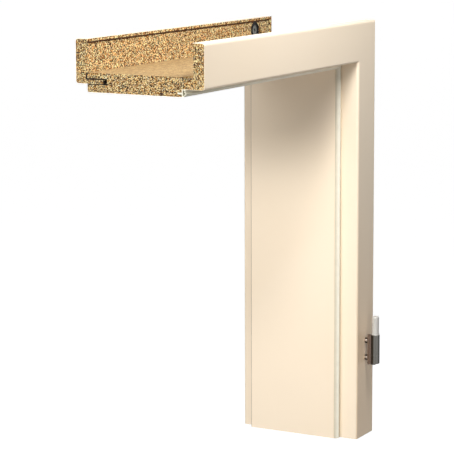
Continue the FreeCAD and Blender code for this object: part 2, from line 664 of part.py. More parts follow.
def boards():
    """The six boards with their pockets and holes."""
    head_lining = head_piece(lining_section())
    jamb_lining = jamb_piece(lining_section())
    for depth in dowel_depths():
        hole = dowel_hole(depth)
        head_lining = head_lining.cut(hole)
        jamb_lining = jamb_lining.cut(hole)
    jamb_lining = jamb_lining.cut(flange_plate(FLANGE_GAP))
    for point in screw_points():
        pilot = bar(point, V(-1, 0, 0), SCREW_LENGTH + CUT, SCREW_RADIUS + SCREW_GAP)
        jamb_lining = jamb_lining.cut(pilot)
    front_pocket = connector_pocket(FRONT_RAW, INTO_FRONT)
    rear_pocket = connector_pocket(REAR_RAW, INTO_REAR)
    head_front = head_piece(front_section()).cut(front_pocket)
    jamb_front = jamb_piece(front_section()).cut(front_pocket)
    for z in arm_heights():
        through = bar(V(HINGE_X, -CUT, z), V(0, 1, 0), FRONT_THICKNESS + 2 * CUT, ARM_RADIUS + ARM_GAP)
        jamb_front = jamb_front.cut(through)
    return {
        "head_lining": head_lining,
        "jamb_lining": jamb_lining,
        "head_front_architrave": head_front,
        "jamb_front_architrave": jamb_front,
        "head_rear_architrave": head_piece(rear_section()).cut(rear_pocket),
        "jamb_rear_architrave": jamb_piece(rear_section()).cut(rear_pocket),
    }


def seals():
    outline, hollow = seal_section()
    return {
        "head_seal": head_piece(outline, hollow),
        "jamb_seal": jamb_piece(outline, hollow),
    }


def connector(name, face, inward):
    return {
        name + "_housing": connector_housing(face, inward),
        name + "_cam": connector_cam(face, inward),
        name + "_bolt": connector_bolt(face, inward),
        name + "_anchor": connector_anchor(face, inward),
    }


def dowels():
    return {"corner_dowel_%d" % (i + 1): corner_dowel(depth) for i, depth in enumerate(dowel_depths())}


def hinge():
    """The hinge's frame half and what holds it."""
    pieces = {
        "hinge_barrel": hinge_barrel(),
        "hinge_pin": hinge_pin(),
        "hinge_sleeve": hinge_sleeve(),
        "hinge_receiver": hinge_receiver(),
    }
    for place, z in zip(("upper", "lower"), arm_heights()):
        pieces["hinge_arm_" + place] = hinge_arm(z)
        pieces["hinge_collar_" + place] = hinge_collar(z)
        pieces["clamp_screw_" + place] = clamp_screw(z)
    for place, point in zip(("lower", "upper"), screw_points()):
        pieces["receiver_screw_" + place] = receiver_screw(point)
    return pieces


def main():
    os.makedirs("parts", exist_ok=True)
    pieces = {}
    pieces.update(boards())
    pieces.update(seals())
    pieces.update(connector("rear_connector", REAR_RAW, INTO_REAR))
    pieces.update(connector("front_connector", FRONT_RAW, INTO_FRONT))
    pieces.update(dowels())
    pieces.update(hinge())
    for name, shape in pieces.items():
        shape.translate(V(0, 0, 0) - MOUNT)
        solid = shape.Solids[0] if len(shape.Solids) == 1 else shape
        box = solid.BoundBox
        print("%-24s solids %d valid %s volume %.0f  x %.1f %.1f  y %.1f %.1f  z %.1f %.1f" % (
            name, len(shape.Solids), solid.isValid(), solid.Volume,
            box.XMin, box.XMax, box.YMin, box.YMax, box.ZMin, box.ZMax))
        solid.exportStep("parts/%s.step" % name)


main()
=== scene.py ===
# %% [markdown]
# # A mitred corner of a door frame
# The object is a cut sample of an interior door frame: lining boards, architraves, a seal and half a hinge.
# Its pieces come as exact solids. This script gives each one its finish, adds the loose chips that a saw and
# a router leave on chipboard, and sets up a camera, a pale floor and soft light. Everything is in metres.

# %% Load the pieces
import math

import bpy
import numpy as np
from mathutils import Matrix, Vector


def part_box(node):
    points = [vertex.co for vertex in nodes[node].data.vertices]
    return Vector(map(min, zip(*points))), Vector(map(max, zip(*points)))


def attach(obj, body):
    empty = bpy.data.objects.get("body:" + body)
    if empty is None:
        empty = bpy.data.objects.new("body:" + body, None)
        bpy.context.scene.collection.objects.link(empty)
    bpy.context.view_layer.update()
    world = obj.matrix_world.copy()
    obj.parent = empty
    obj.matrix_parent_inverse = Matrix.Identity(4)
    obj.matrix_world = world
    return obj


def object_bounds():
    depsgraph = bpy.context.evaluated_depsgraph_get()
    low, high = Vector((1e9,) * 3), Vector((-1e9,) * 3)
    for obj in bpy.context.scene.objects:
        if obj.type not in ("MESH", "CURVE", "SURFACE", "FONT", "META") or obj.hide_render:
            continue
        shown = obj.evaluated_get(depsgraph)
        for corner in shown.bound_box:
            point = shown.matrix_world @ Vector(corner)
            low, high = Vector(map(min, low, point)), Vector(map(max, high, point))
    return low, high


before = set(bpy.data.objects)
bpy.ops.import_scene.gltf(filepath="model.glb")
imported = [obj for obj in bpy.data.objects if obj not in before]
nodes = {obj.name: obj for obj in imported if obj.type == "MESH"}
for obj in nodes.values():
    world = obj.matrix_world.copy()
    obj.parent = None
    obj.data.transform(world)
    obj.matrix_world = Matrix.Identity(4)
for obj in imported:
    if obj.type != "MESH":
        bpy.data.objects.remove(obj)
solid_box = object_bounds()
MM = 0.001
print(len(nodes), "pieces, from", tuple(solid_box[0]), "to", tuple(solid_box[1]))

# %% [markdown]
# ## Camera
# The sample is seen from the front left and a little above. A short lens near by would stretch its near
# corner, so a long lens is used from more than three metres away. Its turn is counted from the head's own
# line. Two shifts slide the picture in its frame without turning the camera, as a view camera's rising front
# does.

# %% Camera
PICTURE = 454.0
FOCAL_PIXELS = 1984.0
AXIS_IN_PICTURE = (274.0, 176.0)
CAMERA_PLACE = Vector((-2.888, -1.445, 0.5924))
CAMERA_TURN = math.radians(27.47)
CAMERA_TILT = math.radians(8.261)
SENSOR = 36.0
NEAREST_SEEN = 0.05
FARTHEST_SEEN = 200.0

looking = Vector((
    math.cos(CAMERA_TURN) * math.cos(CAMERA_TILT),
    math.sin(CAMERA_TURN) * math.cos(CAMERA_TILT),
    -math.sin(CAMERA_TILT),
))
camera_data = bpy.data.cameras.new("camera")
camera = bpy.data.objects.new("camera", camera_data)
bpy.context.scene.collection.objects.link(camera)
camera.location = CAMERA_PLACE
camera.rotation_euler = looking.to_track_quat("-Z", "Y").to_euler()
camera_data.sensor_width = SENSOR
camera_data.lens = FOCAL_PIXELS / PICTURE * SENSOR
camera_data.shift_x = (PICTURE / 2 - AXIS_IN_PICTURE[0]) / PICTURE
camera_data.shift_y = (AXIS_IN_PICTURE[1] - PICTURE / 2) / PICTURE
camera_data.clip_start = NEAREST_SEEN
camera_data.clip_end = FARTHEST_SEEN
bpy.context.scene.camera = camera
shifts = round(camera_data.shift_x, 3), round(camera_data.shift_y, 3)
print("lens", round(camera_data.lens, 1), "mm, shifts", shifts)

# %% [markdown]
# ## Shader maths as Python
# A finish is a small network of nodes. Wiring Math nodes one by one hides what is meant, so a number that
# varies over a surface is wrapped in a class here, and plain arithmetic on it adds the nodes: `1 - mask` just
# works. Every other node comes from one method, which takes the node's type, its settings and its inputs.

# %% Varying numbers
class Number:
    """A number that varies over a surface. Arithmetic on it adds Math nodes to the same finish."""

    def __init__(self, finish, socket):
        self.finish = finish
        self.socket = socket

    def maths(self, operation, *values):
        return self.finish.node("Math", {"operation": operation}, dict(enumerate(values)))

    def __add__(self, other):
        return self.maths("ADD", self, other)

    def __sub__(self, other):
        return self.maths("SUBTRACT", self, other)

    def __rsub__(self, other):
        return self.maths("SUBTRACT", other, self)

    def __mul__(self, other):
        return self.maths("MULTIPLY", self, other)

    def __truediv__(self, other):
        return self.maths("DIVIDE", self, other)

    __radd__ = __add__
    __rmul__ = __mul__

    def at_least(self, other):
        return self.maths("MAXIMUM", self, other)

    def at_most(self, other):
        return self.maths("MINIMUM", self, other)

    def above(self, other):
        return self.maths("GREATER_THAN", self, other)

    def below(self, other):
        return self.maths("LESS_THAN", self, other)

    def root(self):
        return self.maths("SQRT", self)

    def ramp(self, low, high):
        """0 below low, 1 above high, a soft step between."""
        settings = {"interpolation_type": "SMOOTHSTEP"}
        return self.finish.node("MapRange", settings, {"Value": self, "From Min": low, "From Max": high})

    def between(self, low, high):
        """low where this is 0, high where it is 1."""
        return self * (high - low) + low


print("numbers ready")

# %% [markdown]
# ## A finish
# One class holds a material and its main shader. A socket is fed with a number, a colour of three numbers or
# the output of another node, and one small method stands for each kind of pattern that the finishes below
# use. The Mix node keeps a set of sockets for each type of data, so its colour sockets are named here by
# their places.

# %% Finish
MIX_FACTOR, MIX_FIRST, MIX_SECOND = 0, 6, 7
MIX_RESULT = 2
NOISE_MIDDLE = 0.5


class Finish:
    """One material: a Principled shader and the nodes that vary it."""

    def __init__(self, name, **constants):
        self.material = bpy.data.materials.new(name)
        self.material.use_nodes = True
        self.tree = self.material.node_tree
        self.shader = self.tree.nodes["Principled BSDF"]
        self.set(**constants)

    def node(self, kind, settings=None, inputs=None, output=0):
        """Adds a node, makes its settings first, then its inputs, and gives the output asked for."""
        made = self.tree.nodes.new("ShaderNode" + kind)
        for label, value in (settings or {}).items():
            if label == "stops":
                fill_ramp(made.color_ramp, value)
            else:
                setattr(made, label, value)
        for label, value in (inputs or {}).items():
            self.feed(made.inputs[label], value)
        return Number(self, made.outputs[output])

    def feed(self, socket, value):
        if isinstance(value, Number):
            self.tree.links.new(value.socket, socket)
        elif socket.type == "RGBA":
            socket.default_value = (*value, 1.0)
        else:
            socket.default_value = value

    def set(self, **values):
        for label, value in values.items():
            self.feed(self.shader.inputs[label.replace("_", " ")], value)

    def place(self):
        """The point's place on the piece, in metres."""
        return self.node("TexCoord", output="Object")

    def parts(self, vector):
        return [self.node("SeparateXYZ", inputs={0: vector}, output=i) for i in range(3)]

    def scaled(self, vector, scale):
        return self.node("VectorMath", {"operation": "MULTIPLY"}, {0: vector, 1: scale})

    def moved(self, vector, offset):
        return self.node("VectorMath", {"operation": "ADD"}, {0: vector, 1: offset})

    def noise(self, vector, scale, detail=3.0, roughness=0.55):
        return self.node("TexNoise", inputs={"Vector": vector, "Scale": scale, "Detail": detail,
                                             "Roughness": roughness})

    def cells(self, vector, output="Distance"):
        """Cells of size 1: the distance from a cell's middle, or its random colour."""
        return self.node("TexVoronoi", inputs={"Vector": vector, "Scale": 1.0}, output=output)

    def colours(self, factor, stops):
        return self.node("ValToRGB", {"stops": stops}, {0: factor})

    def mixed(self, factor, first, second, blend="MIX"):
        """Colour: first where factor is 0, second where it is 1."""
        settings = {"data_type": "RGBA", "blend_type": blend, "clamp_result": True}
        inputs = {MIX_FACTOR: factor, MIX_FIRST: first, MIX_SECOND: second}
        return self.node("Mix", settings, inputs, MIX_RESULT)

    def tinted(self, colour, tint, share=1.0):
        """The colour times the tint, where share is 1."""
        return self.mixed(share, colour, tint, "MULTIPLY")

    def steeper(self, colour, steepness, tint):
        """The colour with more contrast, then tinted."""
        return self.tinted(self.node("Gamma", inputs={0: colour, 1: steepness}), tint)

    def bump(self, height, distance, strength):
        return self.node("Bump", inputs={"Height": height, "Distance": distance, "Strength": strength})


def fill_ramp(ramp, stops):
    """Puts (place, colour) stops on a colour ramp."""
    while len(ramp.elements) < len(stops):
        ramp.elements.new(1.0)
    for element, (place, colour) in zip(ramp.elements, stops):
        element.position = place
        element.color = (*colour, 1.0)


print("finish ready")

# %% [markdown]
# ## Chipboard
# All the boards are chipboard: wood chips of many shades, glued and pressed flat. Seen from a step away it is
# an even tan with dark specks and pale flecks a millimetre or two across. Noise would be too soft for them.
# Here a cell of a Voronoi texture makes one chip, with a random shade each, and smaller cells make the dust
# on it. Dark bark and pale flecks are painted only on the middles of cells, so that they lie apart. Pressing
# flattens chips in the board's thickness, so the texture is squeezed that way.

# %% Chips of wood in a board
WOOD_SHADES = (
    (0.0, (0.06, 0.026, 0.008)), (0.22, (0.30, 0.160, 0.056)), (0.50, (0.62, 0.375, 0.138)),
    (0.78, (0.90, 0.600, 0.260)), (1.0, (1.0, 0.900, 0.590)),
)
DUST = 0.8 * MM
CHIP = 1.6 * MM
FLATTENED = 1.5
CHIP_CONTRAST, DUST_CONTRAST, MOTTLE_CONTRAST = 1.50, 0.50, 0.20
CONTRAST_START = 0.60
MOTTLES_PER_METRE = 70.0
BARK = (0.030, 0.014, 0.005)
PALE_WOOD = (1.0, 0.86, 0.58)
SPECK, BARK_SHARE, BARK_COVER, BARK_SINKS = 2.1 * MM, 0.42, 0.92, 0.6
FLECK, PALE_SHARE, PALE_COVER, PALE_STANDS = 2.2 * MM, 0.38, 0.85, 0.5
BARK_SHIFT = (0.4, 0.7, 0.2)
PALE_SHIFT = (7.3, 1.9, 4.1)
SPOT_REACH, SPOT_REACH_RANGE = 0.38, 0.25
CHIP_STANDS = 0.45


def squeezed(size, thickness_axis):
    """Cells of this size, thinner along the board's thickness."""
    scale = [1 / size] * 3
    scale[thickness_axis] *= FLATTENED
    return tuple(scale)


def spots(finish, place, size, share, thickness_axis, shift):
    """1 inside a share of the cells of this size, out to a reach from each middle that differs a little."""
    cells = finish.moved(finish.scaled(place, squeezed(size, thickness_axis)), shift)
    pick = finish.parts(finish.cells(cells, "Color"))[0]
    near = finish.cells(cells).below(pick * SPOT_REACH_RANGE + SPOT_REACH)
    return near * pick.below(share)


def chipboard(finish, place, thickness_axis):
    """Colour and height of raw chipboard."""
    dust = finish.parts(finish.cells(finish.scaled(place, squeezed(DUST, thickness_axis)), "Color"))[0]
    chips = finish.scaled(place, squeezed(CHIP, thickness_axis))
    shade, lift, _ = finish.parts(finish.cells(chips, "Color"))
    mottle = finish.noise(place, MOTTLES_PER_METRE, detail=4.0)
    shade = shade * CHIP_CONTRAST + dust * DUST_CONTRAST + mottle * MOTTLE_CONTRAST - CONTRAST_START
    pale = spots(finish, place, FLECK, PALE_SHARE, thickness_axis, PALE_SHIFT)
    dark = spots(finish, place, SPECK, BARK_SHARE, thickness_axis, BARK_SHIFT)
    colour = finish.mixed(pale * PALE_COVER, finish.colours(shade, WOOD_SHADES), PALE_WOOD)
    colour = finish.mixed(dark * BARK_COVER, colour, BARK)
    height = lift * CHIP_STANDS + pale * PALE_STANDS - dark * BARK_SINKS
    return colour, height


print("chipboard:", CHIP / MM, "mm chips,", SPECK / MM, "mm specks and", FLECK / MM, "mm flecks")

# %% [markdown]
# ## The section of the frame
# Depth is counted from the front face towards the rear, and height from the reveal towards the wall. Both
# follow from the pieces' own boxes, so the finishes below keep to the joints when a size changes.

# %% Section sizes
FACE_ROUND = 4.0 * MM
REVEAL_ROUND = 3.0 * MM
STOP_ROUND = 1.5 * MM
FOIL_THICKNESS = 0.3 * MM
STOP_DEPTH = 36.0 * MM
TONGUE_THICKNESS = 6.4 * MM
TONGUE_END_GAP = 6.0 * MM
GROOVE_WIDTH = 7.3 * MM
RECESS_DEPTH = 1.5 * MM
LIP_WIDTH = 5.5 * MM
LIP_DEPTH = 1.5 * MM
HAIR = 0.1 * MM

front_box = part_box("head_front_architrave")
rear_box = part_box("head_rear_architrave")
lining_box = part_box("head_lining")
FRONT_FACE = front_box[0].y
REVEAL_OF_HEAD = lining_box[0].z
REVEAL_OF_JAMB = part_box("jamb_lining")[0].x
SAWN_HEAD = solid_box[0].x
SAWN_JAMB = solid_box[0].z
FRONT_DEPTH = front_box[1].y - FRONT_FACE
REAR_DEPTH = rear_box[1].y - FRONT_FACE
FRONT_INNER = front_box[0].z - REVEAL_OF_HEAD
REAR_INNER = rear_box[0].z - REVEAL_OF_HEAD
OUTER_EDGE = front_box[1].z - REVEAL_OF_HEAD
LINING_THICKNESS = lining_box[1].z - REVEAL_OF_HEAD
LINING_REAR = lining_box[1].y - FRONT_FACE
TONGUE_END = rear_box[0].y - FRONT_FACE
TONGUE_TOP = REAR_INNER + TONGUE_THICKNESS
GROOVE_END = TONGUE_END - TONGUE_END_GAP
GROOVE_TOP = REAR_INNER + GROOVE_WIDTH
RECESS_FLOOR = LINING_THICKNESS - RECESS_DEPTH
LIP_FOOT = OUTER_EDGE - LIP_WIDTH
print("section: lining", round(LINING_THICKNESS / MM, 1), "mm, edge at", round(OUTER_EDGE / MM, 1), "mm")

# %% [markdown]
# ## How deep a point lies under the foil
# A board is wrapped in cream foil on the sides that show when the frame is fitted, and is bare chipboard
# where it meets the wall, in its grooves and where it was sawn off. Each board is one solid, so one finish
# has to tell the two apart. It works out how far a point lies under the foil's surface: with u and v as how
# far the point lies inside the rounding radius R of two faces, that is R - sqrt(u * u + v * v). Foil is what
# lies less than the foil's thickness deep, so a sawn end shows it as a thin bright line round the chips, as
# the real one does.

# %% Depth under the foil
FRONT, REAR, LINING = "front", "rear", "lining"


def under_round(u, v, radius):
    """Depth under two faces that meet in a rounding, from how far u and v reach into its radius."""
    u = u.at_least(0.0)
    v = v.at_least(0.0)
    return radius - (u * u + v * v).root()


def front_depth(height, depth):
    """Depth under the foil of a front architrave: its face, and its inner and outer edges."""
    edges = (FACE_ROUND - (height - FRONT_INNER)).at_least(FACE_ROUND - (OUTER_EDGE - height))
    return under_round(FACE_ROUND - depth, edges, FACE_ROUND)


def rear_depth(height, depth):
    """The same for a rear architrave, whose face looks the other way."""
    edges = (FACE_ROUND - (height - REAR_INNER)).at_least(FACE_ROUND - (OUTER_EDGE - height))
    return under_round(FACE_ROUND - (REAR_DEPTH - depth), edges, FACE_ROUND)


def lining_depth(height, depth):
    """Depth under the foil of a lining board: the reveal, its rear edge, the stop and the rebate's step."""
    rear = (REVEAL_ROUND - (LINING_REAR - depth)) * height.below(REAR_INNER)
    reveal = under_round(REVEAL_ROUND - height, rear, REVEAL_ROUND)
    stop = (STOP_ROUND - (depth - STOP_DEPTH)) * height.below(FRONT_INNER)
    stop_face = under_round(STOP_ROUND - height, stop, STOP_ROUND)
    step = height - FRONT_INNER + depth.above(STOP_DEPTH - HAIR)
    return reveal.at_most(stop_face).at_most(step)


FOIL_DEPTH = {FRONT: front_depth, REAR: rear_depth, LINING: lining_depth}
print("foil depth ready for", len(FOIL_DEPTH), "kinds of board")

# %% [markdown]
# ## Joint lines
# Where two boards meet at a sawn end, the real joint shows as a dark line: little light comes back out of a
# gap, and dust fills it. The gaps in the model are true to size, and too thin to show from a step away, so
# the wood beside them, the walls of the rear groove and the tongue's end are darkened with painted shade of
# the gaps and their dust. Masks made of comparisons give crisp lines, where a painted map would blur them.

# %% Joint lines
JOINT_EDGE = 1.1 * MM
TONGUE_LINE = 0.4 * JOINT_EDGE
GROOVE_END_LINE = 0.3 * JOINT_EDGE
GAP_REACH = 5.0 * MM
SAWN_DEPTH = 0.4 * MM


# Painted shade of the joints, with their dust.
def joint_shade_and_dust(kind, height, depth, from_end):
    """1 in the rear groove, on the tongue's end, on its edges near a sawn end and beside the other joint."""
    if kind == FRONT:
        return 0.0
    if kind == REAR:
        beside = height.below(LINING_THICKNESS) * depth.below(LINING_REAR + LIP_DEPTH + JOINT_EDGE)
        on_top = height.above(TONGUE_TOP - TONGUE_LINE)
        below = height.below(REAR_INNER + TONGUE_LINE) * depth.below(LINING_REAR)
        near_end = (beside * on_top).at_least(below) * from_end.below(GAP_REACH)
        return near_end.at_least(depth.below(TONGUE_END + HAIR))
    groove = depth.above(GROOVE_END - GROOVE_END_LINE) * height.above(REAR_INNER - JOINT_EDGE)
    groove = groove * height.below(GROOVE_TOP + JOINT_EDGE)
    recess = height.above(RECESS_FLOOR - JOINT_EDGE) * depth.below(STOP_DEPTH) * from_end.below(SAWN_DEPTH)
    return groove.at_least(recess)


print("joint lines", JOINT_EDGE / MM, "mm wide")

# %% [markdown]
# ## Raw wood
# A sawn end is rougher, greyer and higher in contrast than a board's pressed side, so the same chips go
# through a steeper curve there. The lining's wall side was sanded, and a fine pale layer of dust and fibres
# covers its chips. A dark line beside the wall lip of the head is painted: the lip's shadow, together with a
# router's burn mark. The jamb's raw side is tinted cooler as painted shade. A picture of each board would
# have to be fitted to it. Height and depth on the section say where each of these lies, so masks from them
# are enough.

# %% Raw wood
RAW_TINT, RAW_STEEPNESS = (1.29, 1.135, 1.14), 1.5
SAWN_TINT, SAWN_STEEPNESS = (0.635, 0.70, 0.83), 2.0
JAMB_SHADE_TINT = (0.92, 0.97, 1.0)
SANDED_SHADES = ((0.0, (0.28, 0.165, 0.064)), (0.5, (0.45, 0.288, 0.122)), (1.0, (0.64, 0.430, 0.200)))
SANDED_LAYER = 1.6 * MM
SANDED_COVER = 0.84
SANDED_SMOOTHS = 0.85
FIBRES_ALONG, FIBRES_ACROSS = 60.0, 400.0
FIBRE_CONTRAST = (0.32, 0.68)
JOINT_SHADE_AND_DUST = (0.020, 0.012, 0.006)
LIP_SHADOW_AND_BURN = (0.060, 0.020, 0.004)
SHADOW_AND_BURN_WIDTH = 1.6 * MM
SHADOW_AND_BURN_COVER = 0.95


def sanded_fibres(finish, place, of_head):
    """Short pale fibres along the lining board."""
    stretch = [FIBRES_ACROSS] * 3
    stretch[0 if of_head else 2] = FIBRES_ALONG
    fibres = finish.noise(finish.scaled(place, tuple(stretch)), 1.0, detail=5.0, roughness=0.7)
    return finish.colours(fibres.ramp(*FIBRE_CONTRAST), SANDED_SHADES)


def raw_wood(finish, place, kind, of_head, height, depth):
    """Colour and height of a board's raw sides and its sawn end."""
    x, _, z = finish.parts(place)
    from_end = x - SAWN_HEAD if of_head else z - SAWN_JAMB
    sawn = from_end.below(SAWN_DEPTH)
    board_axis = 1 if kind != LINING else (2 if of_head else 0)
    chips, relief = chipboard(finish, place, board_axis)
    colour = finish.mixed(sawn, finish.steeper(chips, RAW_STEEPNESS, RAW_TINT),
                          finish.steeper(chips, SAWN_STEEPNESS, SAWN_TINT))
    if kind == LINING:
        sanded = height.ramp(LINING_THICKNESS - SANDED_LAYER, LINING_THICKNESS - HAIR)
        relief = relief * (1 - sanded * SANDED_SMOOTHS)
        fibres = sanded_fibres(finish, place, of_head)
        colour = finish.mixed(sanded * (1 - sawn) * SANDED_COVER, colour, fibres)
    # painted shade and dust in the joints
    colour = finish.mixed(joint_shade_and_dust(kind, height, depth, from_end), colour, JOINT_SHADE_AND_DUST)
    if kind == REAR and of_head:
        # painted shadow under the wall lip, with a router's burn mark
        lip_shadow_and_burn = height.above(LIP_FOOT - SHADOW_AND_BURN_WIDTH) * height.below(LIP_FOOT + LIP_DEPTH)
        colour = finish.mixed(lip_shadow_and_burn * (1 - sawn) * SHADOW_AND_BURN_COVER, colour, LIP_SHADOW_AND_BURN)
    elif kind == REAR:
        # painted shade: the jamb's raw side tinted cooler
        colour = finish.tinted(colour, JAMB_SHADE_TINT, 1 - sawn)
    return colour, relief


print("raw wood ready")

# %% [markdown]
# ## Foil and the board finish
# The foil is satin and nearly even: what keeps it from looking like plastic is a slow change of warmth, a
# roughness that wanders a little and a very fine grain. Painted shade darkens the arris of the lining's rear
# edge, and a painted warmer tint of dimmer light lies on the jamb's face towards its foot. One material
# mixes foil and raw wood by the depth under the foil. Two materials on sorted faces would need cuts in the
# solids along the foil's edge.

# %% Board finishes
FOIL_COLOUR = (0.92, 0.772, 0.588)
FOIL_WARMER = (0.925, 0.780, 0.600)
WARMTH_PER_METRE, WARMTH_CONTRAST = 7.0, (0.35, 0.65)
ARRIS, ARRIS_SHADE = 1.8 * MM, (0.42, 0.41, 0.42)
WARM_SHADE_TINT = (1.09, 1.0, 0.91)
WARM_SHADE_BELOW = (-0.20, 0.25)
FACE_LAYER = FACE_ROUND / 3
FOIL_GRAIN_PER_METRE, FOIL_GRAIN_HEIGHT = 1800.0, 0.012
FOIL_ROUGHNESS, FOIL_WANDERS, WANDERS_PER_METRE = 0.40, 0.10, 24.0
RAW_ROUGHER = 0.48
BOARD_SHEEN = 0.4
BOARD_RELIEF, BOARD_BUMP = 0.35 * MM, 0.8


def foil_colour(finish, place, kind, of_head, depth):
    """Cream foil, with painted shade on the lining's rear arris and a painted warm tint low on the jamb."""
    warmth = finish.noise(place, WARMTH_PER_METRE, detail=1.0)
    colour = finish.mixed(warmth.ramp(*WARMTH_CONTRAST), FOIL_COLOUR, FOIL_WARMER)
    if kind == LINING:
        # painted shade on the arris of the lining's rear edge
        return finish.tinted(colour, ARRIS_SHADE, depth.above(LINING_REAR - ARRIS))
    if kind == FRONT and not of_head:
        # painted warmer tint of dimmer light towards the jamb's foot
        down = finish.parts(place)[2] * -1
        lower_face = down.ramp(*WARM_SHADE_BELOW) * depth.below(FACE_LAYER)
        return finish.mixed(lower_face, colour, finish.tinted(colour, WARM_SHADE_TINT))
    return colour


def board_finish(name, kind, of_head):
    """Foil where a point lies less than the foil's thickness deep, raw wood elsewhere and on the tongue."""
    finish = Finish(name, Specular_IOR_Level=BOARD_SHEEN)
    place = finish.place()
    x, y, z = finish.parts(place)
    depth = y - FRONT_FACE
    height = z - REVEAL_OF_HEAD if of_head else x - REVEAL_OF_JAMB
    raw = FOIL_DEPTH[kind](height, depth).above(FOIL_THICKNESS)
    if kind == REAR:
        raw = raw.at_least(depth.below(LINING_REAR))
    foil = foil_colour(finish, place, kind, of_head, depth)
    wood, relief = raw_wood(finish, place, kind, of_head, height, depth)
    grain = finish.noise(place, FOIL_GRAIN_PER_METRE, detail=2.0)
    wander = (finish.noise(place, WANDERS_PER_METRE) - NOISE_MIDDLE) * FOIL_WANDERS
    surface = raw * relief + (1 - raw) * grain * FOIL_GRAIN_HEIGHT
    finish.set(
        Base_Color=finish.mixed(raw, foil, wood),
        Roughness=raw * RAW_ROUGHER + (1 - raw) * wander + FOIL_ROUGHNESS,
        Normal=finish.bump(surface, BOARD_RELIEF, BOARD_BUMP),
    )
    return finish.material


def dress(part, material):
    """Gives every face of a piece this finish."""
    for slot in nodes[part].material_slots:
        slot.material = material
    if not nodes[part].material_slots:
        nodes[part].data.materials.append(material)


for kind, part in ((FRONT, "front_architrave"), (REAR, "rear_architrave"), (LINING, "lining")):
    for of_head, side in ((True, "head"), (False, "jamb")):
        dress(side + "_" + part, board_finish(side + "_" + part + "_finish", kind, of_head))
print("six boards dressed")

# %% [markdown]
# ## Torn chips on the raw surfaces
# A saw tears some chips half out of a sawn end, and a board's raw side is never quite flat. Paint alone
# leaves those faces smooth when light grazes them, so some twenty thousand real flakes are added: each is a
# tiny closed lens of ten triangles on a rim of five wobbly corners. They are worked out all at once as
# arrays, and each carries a shade of its own in an attribute that the finish reads.

# %% Flakes
FLAKE_CORNERS = 5
FLAKE_POINTS = FLAKE_CORNERS + 2
FLAKES_PER_AREA = 0.20 / MM**2
FLAKE_LENGTH = (1.1 * MM, 2.3 * MM)
FLAKE_WIDTH = (0.7 * MM, 1.4 * MM)
RIM_WOBBLE = (0.7, 1.3)
BESIDE_EDGE = 1.2 * MM
FLAKE_SEED = 11
random = np.random.default_rng(FLAKE_SEED)


def scattered_points(rectangles):
    """Evenly random points on rectangles of (low a, high a, low b, high b), kept clear of their edges."""
    spans = np.array(rectangles)
    low = spans[:, 0::2] + BESIDE_EDGE
    size = spans[:, 1::2] - BESIDE_EDGE - low
    counts = np.round(size.prod(axis=1) * FLAKES_PER_AREA).astype(int)
    which = np.repeat(np.arange(len(spans)), counts)
    return low[which] + random.random((len(which), 2)) * size[which]


def flake_shapes(middles, heights, heading, spread):
    """Points of closed flakes in (a, b, out), and the triangles that join them.

    Corner k of a rim lies at length / 2 * cos(t) along the flake and width / 2 * sin(t) across it, with
    t = 2 pi k / corners, each times a random wobble, turned by the flake's own angle. One more point stands
    out from the middle by the height and one lies as deep, and both are joined to the rim.
    """
    count = len(middles)
    t = 2 * np.pi * np.arange(FLAKE_CORNERS) / FLAKE_CORNERS
    wobble = random.uniform(*RIM_WOBBLE, (count, FLAKE_CORNERS))
    along = random.uniform(*FLAKE_LENGTH, (count, 1)) / 2 * np.cos(t) * wobble
    across = random.uniform(*FLAKE_WIDTH, (count, 1)) / 2 * np.sin(t) * wobble
    angle = random.normal(heading, spread, (count, 1))
    a = middles[:, :1] + along * np.cos(angle) - across * np.sin(angle)
    b = middles[:, 1:] + along * np.sin(angle) + across * np.cos(angle)
    out = random.uniform(*heights, (count, 1))
    rims = np.stack((a, b, np.zeros_like(a)), axis=-1)
    tips = [np.concatenate((middles, side * out), axis=1)[:, None] for side in (1, -1)]
    points = np.concatenate([rims] + tips, axis=1)
    here = np.arange(FLAKE_CORNERS)
    following = (here + 1) % FLAKE_CORNERS
    top = np.stack((here, following, np.full_like(here, FLAKE_CORNERS)), axis=1)
    bottom = np.stack((following, here, np.full_like(here, FLAKE_CORNERS + 1)), axis=1)
    first = np.arange(count)[:, None, None] * FLAKE_POINTS
    return points.reshape(-1, 3), (first + np.concatenate((top, bottom))).reshape(-1, 3)


def outward(points, faces):
    """The faces, turned round if the volume that they enclose comes out negative."""
    a, b, c = (points[faces[:, i]] for i in range(3))
    return faces if (a * np.cross(b, c)).sum() > 0 else faces[:, ::-1]


print("each flake has", 2 * FLAKE_CORNERS, "triangles")

# %% [markdown]
# ## Where the flakes lie
# A board's sawn end is a few rectangles of its section, the same at the head and, turned, at the jamb's foot.
# The raw sides are one long rectangle each, cut off at the mitre, and a flake that would lie in the pocket of
# the corner fitting is dropped: the pocket is all that is nearer to the line between the fitting's two cups
# than their radius.

# %% Rectangles of the section
SEAL_GROOVE_END = STOP_DEPTH + 8.0 * MM
SEAL_GROOVE_TOP = 7.0 * MM
RAW_DEPTHS = {FRONT: FRONT_DEPTH - LIP_DEPTH, REAR: LINING_REAR + LIP_DEPTH}
FRAME_SECTION = [
    (0.0, FRONT_DEPTH, FRONT_INNER, OUTER_EDGE),
    (FRONT_DEPTH, STOP_DEPTH, FRONT_INNER, RECESS_FLOOR),
    (STOP_DEPTH, SEAL_GROOVE_END, SEAL_GROOVE_TOP, LINING_THICKNESS),
    (SEAL_GROOVE_END, GROOVE_END, 0.0, LINING_THICKNESS),
    (GROOVE_END, LINING_REAR, 0.0, REAR_INNER),
    (GROOVE_END, LINING_REAR, GROOVE_TOP, LINING_THICKNESS),
]
REAR_SECTION = [
    (RAW_DEPTHS[REAR], REAR_DEPTH, REAR_INNER, OUTER_EDGE),
    (TONGUE_END, RAW_DEPTHS[REAR], REAR_INNER, TONGUE_TOP),
]


